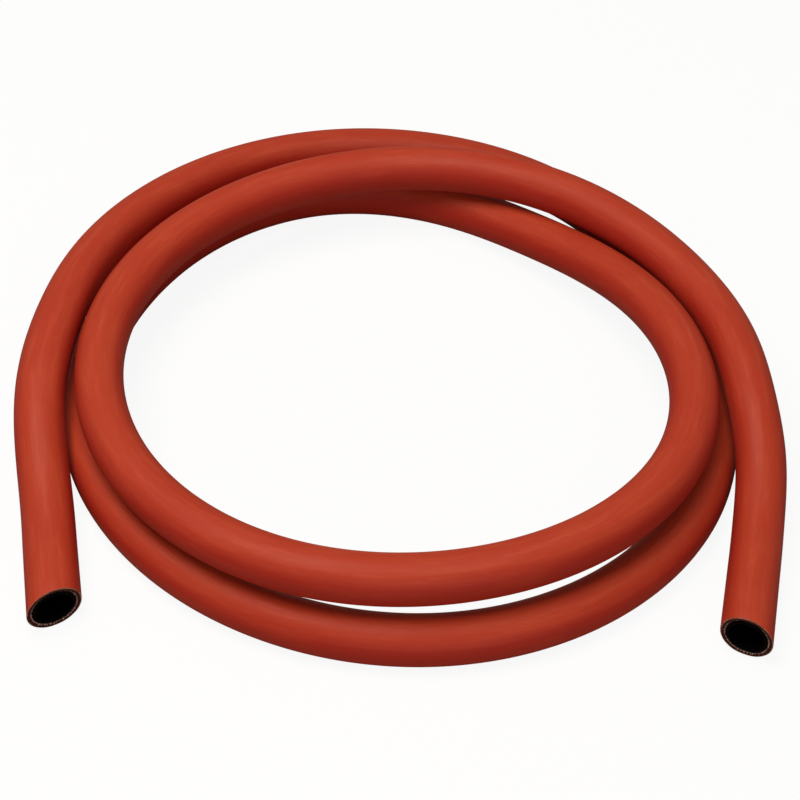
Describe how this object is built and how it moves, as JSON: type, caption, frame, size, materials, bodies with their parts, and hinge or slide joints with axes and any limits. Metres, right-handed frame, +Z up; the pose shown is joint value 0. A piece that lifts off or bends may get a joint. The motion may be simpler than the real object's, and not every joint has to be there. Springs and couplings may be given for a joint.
{
  "type": "rubber hose coil",
  "caption": "Coiled length of red rubber hose with a textile reinforcement, a black inner tube and plain cut ends, lying flat.",
  "frame": {"origin": "middle of the coil's footprint, on the surface that the hose lies on", "axes": "+Z up out of the coil's plane, -Y towards the side where both cut ends point, +X to the right seen from that side"},
  "size_m": [0.2942, 0.2996, 0.0403],
  "materials": {
    "cover_rubber": "satin",
    "braid_yarn": "matte",
    "tube_rubber": "matte"
  },
  "bodies": {
    "root": {"outer_cover": "cover_rubber", "textile_braid": "braid_yarn", "inner_tube": "tube_rubber"}
  },
  "joints": []
}
